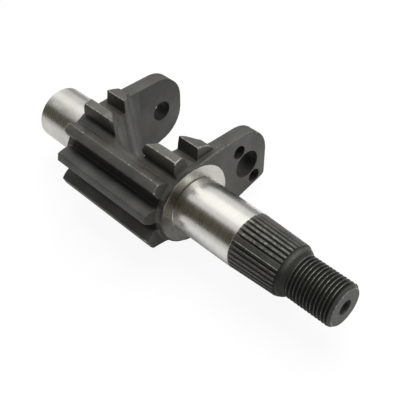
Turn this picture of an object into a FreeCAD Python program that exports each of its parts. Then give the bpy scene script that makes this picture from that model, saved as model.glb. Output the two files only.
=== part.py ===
import FreeCAD, Part
import math
import os

# Sector shaft of a steering box: one piece of steel, forged and then turned, hobbed, milled and drilled.
# X runs along the shaft towards its threaded end, and Z is up as the shaft lies at rest.
# The origin is the centre of the threaded end face. Lengths are in millimetres, angles in degrees.
# Outlines across the shaft are drawn as (y, z) with the two ears pointing along +Y and their tops
# level. The finished piece is then rolled about the shaft axis until the straight lower edges of its
# ears are level, which is how it comes to rest.

# Threaded end and its nose
thread_diameter = 24.0
end_face_diameter = 20.8
nose_diameter = 22.6
nose_chamfer_length = 1.9
nose_length = 3.0
thread_lead_in = 0.6
thread_length = 23.9

# Rounded shoulder behind the thread, then the tapered serrated seat
shoulder_length = 5.6
shoulder_bulge_height = 0.58
serration_length = 27.7
taper_ratio = 1 / 12.5
seat_step_height = 0.1
serration_places = 36
serration_depth = 1.25
serration_angle = 62.0
blank_every = 9
blank_angle = 139.0
serration_runout_length = 2.2
serration_cutter_height = 2.0

# Bearing journals and the hub that carries the sector
journal_diameter = 32.0
front_journal_length = 39.4
rear_journal_length = 35.7
rear_end_chamfer_length = 1.2
journal_corner_length = 0.8
hub_length = 79.6
hub_edge_chamfer_length = 0.6

# Centre-drilled holes in both end faces
centre_mouth_diameter = 8.6
centre_pilot_diameter = 4.0
centre_pilot_length = 9.0
centre_cone_angle = 60.0

# Toothed sector: five teeth of an eleven-tooth gear of module 5.25. The hub is its root cylinder.
pitch_radius = 28.875
addendum_height = 3.625
dedendum_height = 5.275
teeth_per_turn = 11
pressure_angle = 25.0
tooth_root_fillet_radius = 1.6
tooth_tip_corner_radius = 0.4
flank_steps = 6
whole_teeth = 3
first_tooth_angle = 104.2
teeth_front_setback = 3.3
teeth_rear_setback = 3.7
end_fillet_radius = 2.2

# The first tooth is a plain block with an upright flank, beside the ears
block_flank_foot_y = 5.0
block_flank_tip_y = 5.75
block_land_end_angle = 64.0
block_back_y = 16.3
block_back_rise_height = 1.0
block_back_hollow_depth = 0.5

# The last tooth has one tooth flank and a nearly level underside
last_tooth_land_end_angle = 207.5
last_tooth_corner_angle = 211.8
last_tooth_corner_depth = 0.6
last_tooth_foot_angle = 230.2
last_tooth_foot_depth = 0.2

# Ears: two parallel plates on the side away from the teeth
front_ear_setback = 0.2
front_ear_thickness = 8.5
rear_ear_thickness = 9.6
ear_top_z = 25.2
front_ear_tip_y = 36.8
front_ear_tip_radius = 18.5
rear_ear_tip_y = 38.3
rear_ear_tip_radius = 17.2
ear_top_start_y = 19.2
ear_rise_angle = 84.0
ear_root_depth = 3.0
front_ear_under_height = 2.4
rear_ear_under_height = 4.25
ear_under_slope_angle = 15.5
ear_under_overrun_length = 3.0
front_ear_corner_radius = 3.0
rear_ear_corner_radius = 19.0
front_ear_boss_height = 1.8
front_ear_boss_diameter = 23.0

# Bores through the ears, on one line parallel to the shaft
ear_bore_y = 40.1
ear_bore_z = 3.6
front_ear_bore_diameter = 16.5
rear_ear_bore_diameter = 12.0
screw_hole_diameter = 8.0
screw_circle_diameter = 26.7
screw_angle = 119.0
screw_count = 2

# Recess between the ears, cut through with a leaning cutter
recess_radius = 21.6
recess_centre_y = 11.5
recess_end_y = -6.6
recess_lip_radius = 21.1
recess_lip_depth = 3.5
recess_lip_top_z = 21.2
recess_lean_angle = 7.6
recess_flare_start_y = 6.5
recess_flare_length = 16.3
cutter_overrun_length = 20.0

# Roll about the shaft axis that brings the ears' lower edges level, below the shaft
rest_roll = -ear_under_slope_angle

# Stations along the shaft
thread_end_x = -(nose_length + thread_lead_in + thread_length)
seat_front_x = thread_end_x - shoulder_length
journal_front_x = seat_front_x - serration_length
hub_front_x = journal_front_x - front_journal_length
hub_rear_x = hub_front_x - hub_length
rear_end_x = hub_rear_x - rear_journal_length
teeth_front_x = hub_front_x - teeth_front_setback
teeth_rear_x = hub_rear_x + teeth_rear_setback
front_ear_x = hub_front_x - front_ear_setback
front_ear_back_x = front_ear_x - front_ear_thickness
rear_ear_front_x = hub_rear_x + rear_ear_thickness
recess_x = (front_ear_back_x + rear_ear_front_x) / 2

journal_radius = journal_diameter / 2
tip_radius = pitch_radius + addendum_height
hub_radius = pitch_radius - dedendum_height
seat_large_radius = journal_radius - seat_step_height
seat_small_radius = seat_large_radius - serration_length * taper_ratio / 2
base_radius = pitch_radius * math.cos(math.radians(pressure_angle))
tooth_pitch_angle = 360 / teeth_per_turn


def vector(x, yz):
    """A point in the plane across the shaft at x."""
    return FreeCAD.Vector(x, yz[0], yz[1])


def polar(radius, degrees):
    """(y, z) at a radius, with the angle measured from +Y towards +Z."""
    angle = math.radians(degrees)
    return (radius * math.cos(angle), radius * math.sin(angle))


def line(a, b):
    """Straight edge between two (y, z) points."""
    return Part.LineSegment(vector(0, a), vector(0, b)).toShape()


def arc(a, middle, b):
    """Circular edge from a to b through a middle point."""
    return Part.Arc(vector(0, a), vector(0, middle), vector(0, b)).toShape()


def ring_arc(radius, start, end, centre=(0.0, 0.0)):
    """Circular edge about a centre, from one direction to another."""
    points = [polar(radius, direction) for direction in (start, (start + end) / 2, end)]
    return arc(*[(centre[0] + y, centre[1] + z) for y, z in points])


def prism(edges, x_from, x_to):
    """Closed outline across the shaft, drawn out from x_from to x_to."""
    face = Part.Face(Part.Wire(edges))
    face.translate(FreeCAD.Vector(x_from, 0, 0))
    return face.extrude(FreeCAD.Vector(x_to - x_from, 0, 0))


def revolve(points_and_arcs):
    """Turned solid about X. Each entry is an (x, radius) point, or a pair (middle, end) for an arc."""
    edges = []
    last = None
    for entry in points_and_arcs:
        if isinstance(entry[0], tuple):
            middle, end = entry
            a, m, b = [FreeCAD.Vector(x, 0, radius) for x, radius in (last, middle, end)]
            edges.append(Part.Arc(a, m, b).toShape())
            last = end
        else:
            if last is not None:
                a, b = [FreeCAD.Vector(x, 0, radius) for x, radius in (last, entry)]
                edges.append(Part.LineSegment(a, b).toShape())
            last = entry
    face = Part.Face(Part.Wire(edges))
    return face.revolve(FreeCAD.Vector(0, 0, 0), FreeCAD.Vector(1, 0, 0), 360)


def turned_shaft():
    """The lathe work: nose, thread blank, shoulder, tapered seat, journals and hub."""
    nose_radius = nose_diameter / 2
    thread_radius = thread_diameter / 2
    corner_radius = journal_radius + journal_corner_length
    chamfer = hub_edge_chamfer_length
    shoulder_rise = seat_small_radius - thread_radius
    shoulder_points = [(thread_end_x - shoulder_length * share,
                        thread_radius + shoulder_rise * share + shoulder_bulge_height)
                       for share in (1 / 3, 2 / 3)]
    return revolve([
        (0, 0),
        (0, end_face_diameter / 2),
        (-nose_chamfer_length, nose_radius),
        (-nose_length, nose_radius),
        (-nose_length - thread_lead_in, thread_radius),
        (thread_end_x, thread_radius),
        shoulder_points[0],
        shoulder_points[1],
        (seat_front_x, seat_small_radius),
        (journal_front_x, seat_large_radius),
        (journal_front_x, journal_radius),
        (hub_front_x + journal_corner_length, journal_radius),
        (hub_front_x, corner_radius),
        (hub_front_x, hub_radius - chamfer),
        (hub_front_x - chamfer, hub_radius),
        (hub_rear_x + chamfer, hub_radius),
        (hub_rear_x, hub_radius - chamfer),
        (hub_rear_x, corner_radius),
        (hub_rear_x - journal_corner_length, journal_radius),
        (rear_end_x + rear_end_chamfer_length, journal_radius),
        (rear_end_x, journal_radius - rear_end_chamfer_length),
        (rear_end_x, 0),
        (0, 0),
    ])


def half_angle(radius):
    """Half the angle that a tooth fills at a radius, from the involute of the base circle."""
    def involute(degrees):
        return math.tan(math.radians(degrees)) - math.radians(degrees)
    at_radius = math.degrees(math.acos(base_radius / radius))
    spread = math.degrees(involute(pressure_angle) - involute(at_radius))
    return tooth_pitch_angle / 4 + spread


def root_fillet(side, centre):
    """Edges of one tooth's foot: out along the hub, round the root fillet and up the radial flank."""
    foot = half_angle(base_radius)
    reach = hub_radius + tooth_root_fillet_radius
    lean = math.degrees(math.asin(tooth_root_fillet_radius / reach))
    flank_start = math.sqrt(reach ** 2 - tooth_root_fillet_radius ** 2)
    inside = polar(hub_radius - tooth_root_fillet_radius, centre + side * (foot + lean))
    on_hub = polar(hub_radius, centre + side * (foot + lean))
    on_flank = polar(flank_start, centre + side * foot)
    middle_of_fillet = polar(reach, centre + side * (foot + lean))
    away = (on_hub[0] + on_flank[0] - 2 * middle_of_fillet[0],
            on_hub[1] + on_flank[1] - 2 * middle_of_fillet[1])
    scale = tooth_root_fillet_radius / math.hypot(*away)
    middle = (middle_of_fillet[0] + away[0] * scale, middle_of_fillet[1] + away[1] * scale)
    on_base = polar(base_radius, centre + side * foot)
    return inside, [line(inside, on_hub), arc(on_hub, middle, on_flank), line(on_flank, on_base)]


def involute_flank(side, centre):
    """Curved flank from the base circle up to where the tip rounding starts."""
    top = tip_radius - tooth_tip_corner_radius
    radii = [base_radius + (top - base_radius) * step / flank_steps for step in range(flank_steps + 1)]
    points = [vector(0, polar(r, centre + side * half_angle(r))) for r in radii]
    curve = Part.BSplineCurve()
    curve.interpolate(points)
    return curve.toShape()


def tip_corner(side, centre):
    """Rounded corner between a flank and the tip land."""
    start = polar(tip_radius - tooth_tip_corner_radius,
                  centre + side * half_angle(tip_radius - tooth_tip_corner_radius))
    corner = polar(tip_radius, centre + side * half_angle(tip_radius))
    land_angle = half_angle(tip_radius) - math.degrees(tooth_tip_corner_radius / tip_radius)
    end = polar(tip_radius, centre + side * land_angle)
    half = ((start[0] + end[0]) / 2, (start[1] + end[1]) / 2)
    share = 2 - math.sqrt(2)
    middle = (corner[0] + (half[0] - corner[0]) * share, corner[1] + (half[1] - corner[1]) * share)
    return land_angle, arc(start, middle, end)


def whole_tooth(centre):
    """Outline of one complete tooth, closed inside the hub."""
    upper_inside, upper_foot = root_fillet(1, centre)
    lower_inside, lower_foot = root_fillet(-1, centre)
    land_angle, upper_corner = tip_corner(1, centre)
    lower_corner = tip_corner(-1, centre)[1]
    land = ring_arc(tip_radius, centre + land_angle, centre - land_angle)
    edges = upper_foot + [involute_flank(1, centre), upper_corner, land, lower_corner]
    edges += [involute_flank(-1, centre)] + lower_foot + [line(lower_inside, upper_inside)]
    return Part.__sortEdges__(edges)


def block_tooth():
    """Outline of the first tooth: upright flank, tip land and a back that falls to the ears."""
    foot = (block_flank_foot_y, math.sqrt(hub_radius ** 2 - block_flank_foot_y ** 2))
    below = (block_flank_foot_y, hub_radius / 2)
    tip = (block_flank_tip_y, math.sqrt(tip_radius ** 2 - block_flank_tip_y ** 2))
    land_start = math.degrees(math.atan2(tip[1], tip[0]))
    back_top = polar(tip_radius, block_land_end_angle)
    back = (block_back_y, ear_top_z + block_back_rise_height)
    ear = (ear_top_start_y, ear_top_z)
    under = (ear_top_start_y, hub_radius / 2)
    fall = math.atan2(ear[0] - back[0], back[1] - ear[1])
    sag = ((back[0] + ear[0]) / 2 - block_back_hollow_depth * math.cos(fall),
           (back[1] + ear[1]) / 2 - block_back_hollow_depth * math.sin(fall))
    return [line(below, foot), line(foot, tip), ring_arc(tip_radius, land_start, block_land_end_angle),
            line(back_top, back), arc(back, sag, ear), line(ear, under), line(under, below)]


def last_tooth():
    """Outline of the last tooth: one involute flank above, a plain underside below."""
    centre = first_tooth_angle + whole_teeth * tooth_pitch_angle
    inside, foot = root_fillet(-1, centre)
    land_angle, corner = tip_corner(-1, centre)
    land = ring_arc(tip_radius, centre - land_angle, last_tooth_land_end_angle)
    land_end = polar(tip_radius, last_tooth_land_end_angle)
    heel = polar(tip_radius - last_tooth_corner_depth, last_tooth_corner_angle)
    under_foot = polar(hub_radius - last_tooth_foot_depth, last_tooth_foot_angle)
    closing = [line(land_end, heel), line(heel, under_foot), line(under_foot, inside)]
    return Part.__sortEdges__(foot + [involute_flank(-1, centre), corner, land] + closing)


def tooth_outlines():
    """The block, the whole teeth and the last tooth, as closed outlines."""
    directions = [first_tooth_angle + step * tooth_pitch_angle for step in range(whole_teeth)]
    return [block_tooth()] + [whole_tooth(direction) for direction in directions] + [last_tooth()]


def toothed_sector():
    """All teeth over their own length, with the fillet between tooth ends and the hub's edge."""
    front_ring = end_fillet_ring(teeth_front_x, 1)
    rear_ring = end_fillet_ring(teeth_rear_x, -1)
    solids = []
    for outline in tooth_outlines():
        solids.append(prism(outline, teeth_rear_x, teeth_front_x))
        longer = prism(outline, teeth_rear_x - end_fillet_radius, teeth_front_x + end_fillet_radius)
        solids.append(longer.common(front_ring))
        solids.append(longer.common(rear_ring))
    return solids


def end_fillet_ring(x, side):
    """Ring with a hollow round outside, that blends a tooth's end face down to the hub."""
    centre = (x + side * end_fillet_radius, hub_radius + end_fillet_radius)
    middle = (centre[0] - side * end_fillet_radius * math.cos(math.radians(45)),
              centre[1] - end_fillet_radius * math.sin(math.radians(45)))
    return revolve([
        (x, hub_radius / 2),
        (x, hub_radius + end_fillet_radius),
        (middle, (x + side * end_fillet_radius, hub_radius)),
        (x + side * end_fillet_radius, hub_radius / 2),
        (x, hub_radius / 2),
    ])


def ear_outline(tip_y, tip_radius_here, corner_radius, under_height):
    """Ear outline: from the hub up to the level top, round the tip, down an upright edge and back along
    a sloping lower edge, which lies at the hub's radius and a height from the shaft axis."""
    slope = math.radians(ear_under_slope_angle)
    under_radius = hub_radius + under_height
    centre = (tip_y, ear_top_z - tip_radius_here)
    outer_y = tip_y + tip_radius_here
    corner_z = outer_y * math.tan(slope) - under_radius / math.cos(slope)
    trim = corner_radius * math.tan(math.radians((90 - ear_under_slope_angle) / 2))
    above = (outer_y, corner_z + trim)
    inward = (outer_y - trim * math.cos(slope), corner_z - trim * math.sin(slope))
    middle = polar(corner_radius, -(90 - ear_under_slope_angle) / 2)
    middle = (above[0] - corner_radius + middle[0], above[1] + middle[1])
    overrun = ear_under_overrun_length
    heel = (under_radius * math.sin(slope) - overrun * math.cos(slope),
            -under_radius * math.cos(slope) - overrun * math.sin(slope))
    heel_radius = math.hypot(*heel)
    heel_direction = math.degrees(math.atan2(heel[1], heel[0]))
    join = heel_direction - math.degrees(math.acos(hub_radius / heel_radius))
    depth = hub_radius - ear_root_depth
    top_start = (ear_top_start_y, ear_top_z)
    return [
        line(polar(depth, ear_rise_angle), polar(hub_radius, ear_rise_angle)),
        line(polar(hub_radius, ear_rise_angle), top_start),
        line(top_start, (tip_y, ear_top_z)),
        ring_arc(tip_radius_here, 90, 0, centre),
        line((outer_y, centre[1]), above),
        arc(above, middle, inward),
        line(inward, heel),
        line(heel, polar(hub_radius, join)),
        line(polar(hub_radius, join), polar(depth, join)),
        line(polar(depth, join), polar(depth, ear_rise_angle)),
    ]


def front_ear():
    """Front half of the ear block, with a small lower corner."""
    outline = ear_outline(front_ear_tip_y, front_ear_tip_radius, front_ear_corner_radius,
                          front_ear_under_height)
    return prism(outline, front_ear_x, recess_x)


def rear_ear():
    """Rear half of the ear block, with a large round for its lower corner."""
    outline = ear_outline(rear_ear_tip_y, rear_ear_tip_radius, rear_ear_corner_radius,
                          rear_ear_under_height)
    return prism(outline, hub_rear_x, recess_x)


def front_ear_boss():
    """Low round boss on the inner face of the front ear, round its bore."""
    return cylinder(front_ear_back_x - front_ear_boss_height, front_ear_x - front_ear_boss_height,
                    front_ear_boss_diameter, (ear_bore_y, ear_bore_z))


def recess():
    """Cutter for the space between the ears: a round end that flares out to both ear faces."""
    half_gap = (front_ear_back_x - rear_ear_front_x) / 2
    start_y = recess_flare_start_y
    start_x = math.sqrt(recess_radius ** 2 - (recess_centre_y - start_y) ** 2)
    end_x = math.sqrt(recess_radius ** 2 - recess_centre_y ** 2)
    middle_turn = (math.asin(start_x / recess_radius) + math.asin(end_x / recess_radius)) / 2
    round_x = recess_radius * math.sin(middle_turn)
    round_y = recess_centre_y - recess_radius * math.cos(middle_turn)
    end_y = start_y + recess_flare_length
    middle_y = (start_y + end_y) / 2
    middle_x = (start_x + half_gap) / 2
    half_x = middle_x - start_x
    half_y = middle_y - start_y
    bend = (half_x ** 2 + half_y ** 2) / (2 * half_x)
    turn = math.atan2(half_x, half_y)
    step_x = bend - bend * math.cos(turn)
    step_y = bend * math.sin(turn)
    open_y = rear_ear_tip_y + rear_ear_tip_radius + cutter_overrun_length

    def point(x, y):
        return FreeCAD.Vector(recess_x + x, y, 0)

    edges = [Part.Arc(point(-end_x, 0), point(0, recess_end_y), point(end_x, 0)).toShape()]
    for side in (-1, 1):
        edges.append(Part.Arc(point(side * end_x, 0), point(side * round_x, round_y),
                              point(side * start_x, start_y)).toShape())
        edges.append(Part.Arc(point(side * start_x, start_y),
                              point(side * (start_x + step_x), start_y + step_y),
                              point(side * middle_x, middle_y)).toShape())
        edges.append(Part.Arc(point(side * middle_x, middle_y),
                              point(side * (half_gap - step_x), end_y - step_y),
                              point(side * half_gap, end_y)).toShape())
        edges.append(Part.LineSegment(point(side * half_gap, end_y),
                                      point(side * half_gap, open_y)).toShape())
    edges.append(Part.LineSegment(point(-half_gap, open_y), point(half_gap, open_y)).toShape())
    face = Part.Face(Part.Wire(Part.__sortEdges__(edges)))
    height = 2 * (tip_radius + cutter_overrun_length)
    face.translate(FreeCAD.Vector(0, 0, -height / 2))
    cutter = face.extrude(FreeCAD.Vector(0, 0, height))
    centre = point(0, recess_centre_y)
    lip = Part.makeCone(recess_lip_radius - recess_lip_depth, recess_lip_radius, recess_lip_depth,
                        centre + FreeCAD.Vector(0, 0, recess_lip_top_z - recess_lip_depth))
    mouth = Part.makeCylinder(recess_lip_radius, cutter_overrun_length,
                              centre + FreeCAD.Vector(0, 0, recess_lip_top_z))
    cutter = cutter.fuse([lip, mouth])
    cutter.rotate(FreeCAD.Vector(0, 0, 0), FreeCAD.Vector(1, 0, 0), recess_lean_angle)
    return cutter


def cylinder(x_from, x_to, diameter, yz):
    """Round cutter parallel to the shaft."""
    return Part.makeCylinder(diameter / 2, x_to - x_from, vector(x_from, yz),
                             FreeCAD.Vector(1, 0, 0))


def ear_holes():
    """The line-bored holes of both ears and the screw holes beside the front one."""
    bore = (ear_bore_y, ear_bore_z)
    holes = [
        cylinder(recess_x, front_ear_x + cutter_overrun_length, front_ear_bore_diameter, bore),
        cylinder(hub_rear_x - cutter_overrun_length, recess_x, rear_ear_bore_diameter, bore),
    ]
    for index in range(screw_count):
        offset = polar(screw_circle_diameter / 2, screw_angle + index * 360 / screw_count)
        place = (bore[0] + offset[0], bore[1] + offset[1])
        holes.append(cylinder(recess_x, front_ear_x + cutter_overrun_length, screw_hole_diameter, place))
    return holes


def centre_hole(x, side):
    """Centre-drilled hole in the end face at x. side is +1 where the face looks towards +X."""
    mouth = centre_mouth_diameter / 2
    pilot = centre_pilot_diameter / 2
    cone_depth = (mouth - pilot) / math.tan(math.radians(centre_cone_angle / 2))
    return revolve([
        (x + side, 0),
        (x + side, mouth + math.tan(math.radians(centre_cone_angle / 2))),
        (x - side * cone_depth, pilot),
        (x - side * centre_pilot_length, pilot),
        (x - side * (centre_pilot_length + pilot), 0),
        (x + side, 0),
    ])


def serration_cutters():
    """One V groove, laid along the taper with a run-out at the journal, and repeated round it."""
    slope = taper_ratio / 2
    half_width = math.tan(math.radians(serration_angle / 2))
    front = seat_front_x + shoulder_length
    back = journal_front_x + serration_runout_length

    def section(x, depth):
        surface = seat_small_radius + (seat_front_x - x) * slope
        low = surface - depth
        high = surface + serration_cutter_height
        width = (high - low) * half_width
        corners = [(0, low), (width, high), (-width, high), (0, low)]
        return Part.makePolygon([FreeCAD.Vector(x, y, z) for y, z in corners])

    groove = Part.makeLoft([section(front, serration_depth), section(back, serration_depth)],
                           True, True)
    end = Part.makeLoft([section(back, serration_depth), section(journal_front_x, 0.0)], True, True)
    single = groove.fuse(end)
    cutters = []
    for place in range(serration_places):
        if place % blank_every:
            copy = single.copy()
            turn = blank_angle - 90 + place * 360 / serration_places
            copy.rotate(FreeCAD.Vector(0, 0, 0), FreeCAD.Vector(1, 0, 0), turn)
            cutters.append(copy)
    return cutters


def sector_shaft():
    """The whole piece, rolled into its rest position."""
    whole = turned_shaft().cut(serration_cutters())
    whole = whole.fuse([front_ear(), rear_ear()] + toothed_sector())
    whole = whole.cut(recess()).fuse(front_ear_boss())
    whole = whole.cut(ear_holes() + [centre_hole(0, 1), centre_hole(rear_end_x, -1)])
    whole = whole.removeSplitter()
    whole.rotate(FreeCAD.Vector(0, 0, 0), FreeCAD.Vector(1, 0, 0), rest_roll)
    return whole


def save(node, shape):
    """Write one sub-part as a STEP file named after its node."""
    os.makedirs("parts", exist_ok=True)
    shape.exportStep("parts/" + node + ".step")
    print(node, "solids", len(shape.Solids), "valid", shape.isValid(), "volume", round(shape.Volume))


save("sector_shaft", sector_shaft())
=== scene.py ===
"""Steering box sector shaft: a forged, toothed body in dark phosphate, with ground journals, a serrated taper
and a thread."""

import math

import bpy
import numpy as np
from mathutils import Matrix, Vector


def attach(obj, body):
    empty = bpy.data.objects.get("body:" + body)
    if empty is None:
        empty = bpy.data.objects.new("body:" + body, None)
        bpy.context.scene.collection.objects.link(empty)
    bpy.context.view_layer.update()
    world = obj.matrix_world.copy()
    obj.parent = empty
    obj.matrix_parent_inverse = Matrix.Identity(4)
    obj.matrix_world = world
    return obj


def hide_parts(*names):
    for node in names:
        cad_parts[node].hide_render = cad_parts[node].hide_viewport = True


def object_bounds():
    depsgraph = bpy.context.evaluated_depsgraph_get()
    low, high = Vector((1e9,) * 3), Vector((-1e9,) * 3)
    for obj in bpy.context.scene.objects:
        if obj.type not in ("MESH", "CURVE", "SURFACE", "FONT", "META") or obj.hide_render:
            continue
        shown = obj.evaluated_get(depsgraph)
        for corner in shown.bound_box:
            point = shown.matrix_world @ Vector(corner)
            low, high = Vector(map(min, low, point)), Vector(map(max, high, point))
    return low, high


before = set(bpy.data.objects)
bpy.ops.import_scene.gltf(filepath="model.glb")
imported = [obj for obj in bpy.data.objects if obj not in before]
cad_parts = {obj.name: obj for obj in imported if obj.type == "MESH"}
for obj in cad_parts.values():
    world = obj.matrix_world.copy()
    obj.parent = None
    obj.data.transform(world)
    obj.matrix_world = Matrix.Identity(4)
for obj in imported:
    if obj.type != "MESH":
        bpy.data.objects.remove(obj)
cad_box = [list(corner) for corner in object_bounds()]

MM = 0.001
TAU = 2 * math.pi
FLOOR = -0.02785

# The shaft is drawn with its ears' tops level and then rolled about X onto their lower edges, as it lies.
REST_ROLL = math.radians(-15.5)

# Stations along the shaft in millimetres, from the threaded end face
NOSE_BACK = -1.6
THREAD_FRONT = -1.75
THREAD_BACK = -27.5
SEAT_FRONT = -32.4
SEAT_BACK = -60.8
HUB_FRONT = -100.2
HUB_REAR = -179.8
HUB_MIDDLE = (HUB_FRONT + HUB_REAR) / 2
HUB_HALF = (HUB_FRONT - HUB_REAR) / 2
REAR_END = -215.5
TEETH_FRONT = HUB_FRONT - 3.3
TEETH_REAR = HUB_REAR + 3.7
TEETH_MIDDLE = (TEETH_FRONT + TEETH_REAR) / 2
TEETH_HALF = (TEETH_FRONT - TEETH_REAR) / 2
FRONT_EAR_FACE = HUB_FRONT - 0.2
FRONT_EAR_BACK = FRONT_EAR_FACE - 8.5
REAR_EAR_FRONT = HUB_REAR + 9.6
RECESS_X = (FRONT_EAR_BACK + REAR_EAR_FRONT) / 2

# Radii
CENTRE_PILOT = 2
CENTRE_MOUTH = 4.3
FACE_RADIUS = 10.4
NOSE_RADIUS = 11.75
THREAD_RADIUS = 12
SEAT_SMALL = 14.764
SEAT_LARGE = 15.9
JOURNAL_RADIUS = 16
HUB_RADIUS = 23.6
TIP_RADIUS = 32.5

# Thread
THREAD_PITCH = 2.106
THREAD_PHASE = -25.15
THREAD_DEPTH = 1.23

# Serrations on the taper, of which every ninth is blank
TAPER_RUN = 25
SERRATIONS = 36
SERRATION_STEP = 360 / SERRATIONS
BLANK_EVERY = 9
BLANK_ANGLE = 139
BLANK_DEPTH = 0.2
GROOVE_DEPTH = 1.25
GROOVE_HALF_ANGLE = math.radians(31)

# Gear
TEETH_PER_TURN = 11
WHOLE_TEETH = 3
PITCH_RADIUS = 28.875
PRESSURE_ANGLE = math.radians(25)
BASE_RADIUS = PITCH_RADIUS * math.cos(PRESSURE_ANGLE)
TOOTH_PITCH = 360 / TEETH_PER_TURN
FIRST_TOOTH = 104.2
ROOT_FILLET = 1.6
TIP_CORNER = 0.35
END_FILLET = 2.2
TOOTH_SINK = 2.5

# First tooth, a block with an upright flank, and last tooth, with a nearly level underside
BLOCK_FOOT_Y = 5
BLOCK_TIP_Y = 5.75
BLOCK_BASE_Z = 12
BLOCK_LAND_END = 64
BLOCK_BACK = (16.3, 26.2)
BLOCK_HOLLOW = (17.5, 25.3)
LAST_LAND_END = 207.5
LAST_HEEL_ANGLE = 211.8
LAST_HEEL_DEPTH = 0.6
LAST_FOOT_ANGLE = 230.2
LAST_FOOT_DEPTH = 0.2

# Ears: each has its tip's centre in Y, tip radius, lower corner radius and straight edge's distance from the axis
EAR_TOP = 25.2
EAR_TOP_START = 19.2
EAR_RISE = 84
UNDER_SLOPE = math.radians(15.5)
UNDER_OVERRUN = 3
FRONT_EAR = (36.8, 18.5, 3, HUB_RADIUS + 2.4)
REAR_EAR = (38.3, 17.2, 19, HUB_RADIUS + 4.25)
EAR_BORE = (40.1, 3.6)
FRONT_BORE_RADIUS = 8.25
REAR_BORE_RADIUS = 6
SCREW_CIRCLE = 13.35
SCREW_RADIUS = 4
SCREW_ANGLES = (119, 299)
BOSS_RADIUS = 11.5
BOSS_HEIGHT = 1.8

# Recess
RECESS_RADIUS = 21.6
RECESS_CENTRE = 11.5
RECESS_LEAN = math.radians(7.6)
RECESS_END = -6.6
LIP_TOP = 21.2
LIP_RADIUS = 21.1
FLARE_START = 6.5
FLARE_LENGTH = 16.3
OPEN_END = 80

# Widths over which the body's edges are rounded and its corners filled
HUB_CHAMFER = 0.6
TOOTH_EDGE = 0.35
FRONT_EAR_EDGE = 0.9
REAR_EAR_EDGE = 1
EAR_JOIN = 0.8
RECESS_EDGE = 0.3
LIP_EDGE = 1.6
LIP_FOOT = 2.4
BORE_EDGE = 0.45
SCREW_EDGE = 0.35


# ---- Outlines across the shaft, as rows of (y, z) ----


def on_circle(radius, degrees, centre=(0, 0)):
    """Points at a radius from a centre, at angles measured from +Y towards +Z: the radius times the cosine in Y
    and times the sine in Z, added to the centre."""
    turn = np.radians(np.asarray(degrees, float))
    return np.column_stack([centre[0] + radius * np.cos(turn), centre[1] + radius * np.sin(turn)])


def arc_through(a, middle, b, count=12):
    """Points on the circle through three points. Its centre is equally far from all of them, which gives two
    linear equations, and the arc sweeps from the first to the last by way of the middle one."""
    a, middle, b = (np.asarray(p, float) for p in (a, middle, b))
    sides = 2 * np.array([middle - a, b - a])
    centre = np.linalg.solve(sides, [middle @ middle - a @ a, b @ b - a @ a])
    radius = math.hypot(*(a - centre))
    first, mid, last = (math.atan2(p[1] - centre[1], p[0] - centre[0]) for p in (a, middle, b))
    sweep = (last - first) % TAU
    if (mid - first) % TAU > sweep:
        sweep -= TAU
    return on_circle(radius, np.degrees(first + sweep * np.linspace(0, 1, count)), centre)


def tooth_half_angle(radius):
    """Half a tooth's angle at a radius: a quarter pitch, plus the involute at the pitch circle less that here.

    The involute of an angle is its tangent less the angle, whose cosine is the base radius over the radius.
    """
    radius = np.maximum(radius, BASE_RADIUS)
    here = np.arccos(BASE_RADIUS / radius)
    spread = (math.tan(PRESSURE_ANGLE) - PRESSURE_ANGLE) - (np.tan(here) - here)
    return TOOTH_PITCH / 4 + np.degrees(spread)


def tooth_side(side, centre):
    """One side of a tooth from inside the hub to its tip: root fillet, radial foot, involute and tip corner.

    The fillet's centre lies its own radius outside the hub, and beside the foot by the angle whose sine is that
    radius over the centre's. The tip corner is a quadratic curve from the involute to the tip circle, drawn
    towards the point where they would meet.
    """
    foot = tooth_half_angle(BASE_RADIUS)
    reach = HUB_RADIUS + ROOT_FILLET
    turn = centre + side * (foot + math.degrees(math.asin(ROOT_FILLET / reach)))
    fillet_centre = on_circle(reach, turn)[0]
    inside = on_circle(HUB_RADIUS - TOOTH_SINK, turn)
    on_hub = on_circle(HUB_RADIUS, turn)[0]
    on_flank = on_circle(math.sqrt(reach ** 2 - ROOT_FILLET ** 2), centre + side * foot)[0]
    away = (on_hub + on_flank) / 2 - fillet_centre
    middle = fillet_centre + away * ROOT_FILLET / math.hypot(*away)
    fillet = arc_through(on_hub, middle, on_flank, 9)
    radii = np.linspace(BASE_RADIUS, TIP_RADIUS - TIP_CORNER, 14)
    flank = on_circle(1, centre + side * tooth_half_angle(radii)) * radii[:, None]
    land_angle = tooth_half_angle(TIP_RADIUS) - math.degrees(TIP_CORNER / TIP_RADIUS)
    corner = on_circle(TIP_RADIUS, centre + side * tooth_half_angle(TIP_RADIUS))[0]
    end = on_circle(TIP_RADIUS, centre + side * land_angle)[0]
    bend = np.linspace(0, 1, 6)[:, None]
    tip = (1 - bend) ** 2 * flank[-1] + 2 * bend * (1 - bend) * corner + bend ** 2 * end
    return np.vstack([inside, fillet, flank, tip]), land_angle


def whole_tooth(centre):
    """Closed outline of a complete tooth: its two sides, joined by the tip circle."""
    upper, land = tooth_side(1, centre)
    lower, _ = tooth_side(-1, centre)
    tip = on_circle(TIP_RADIUS, np.linspace(centre + land, centre - land, 12))
    return np.vstack([upper, tip, lower[::-1]])


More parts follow.
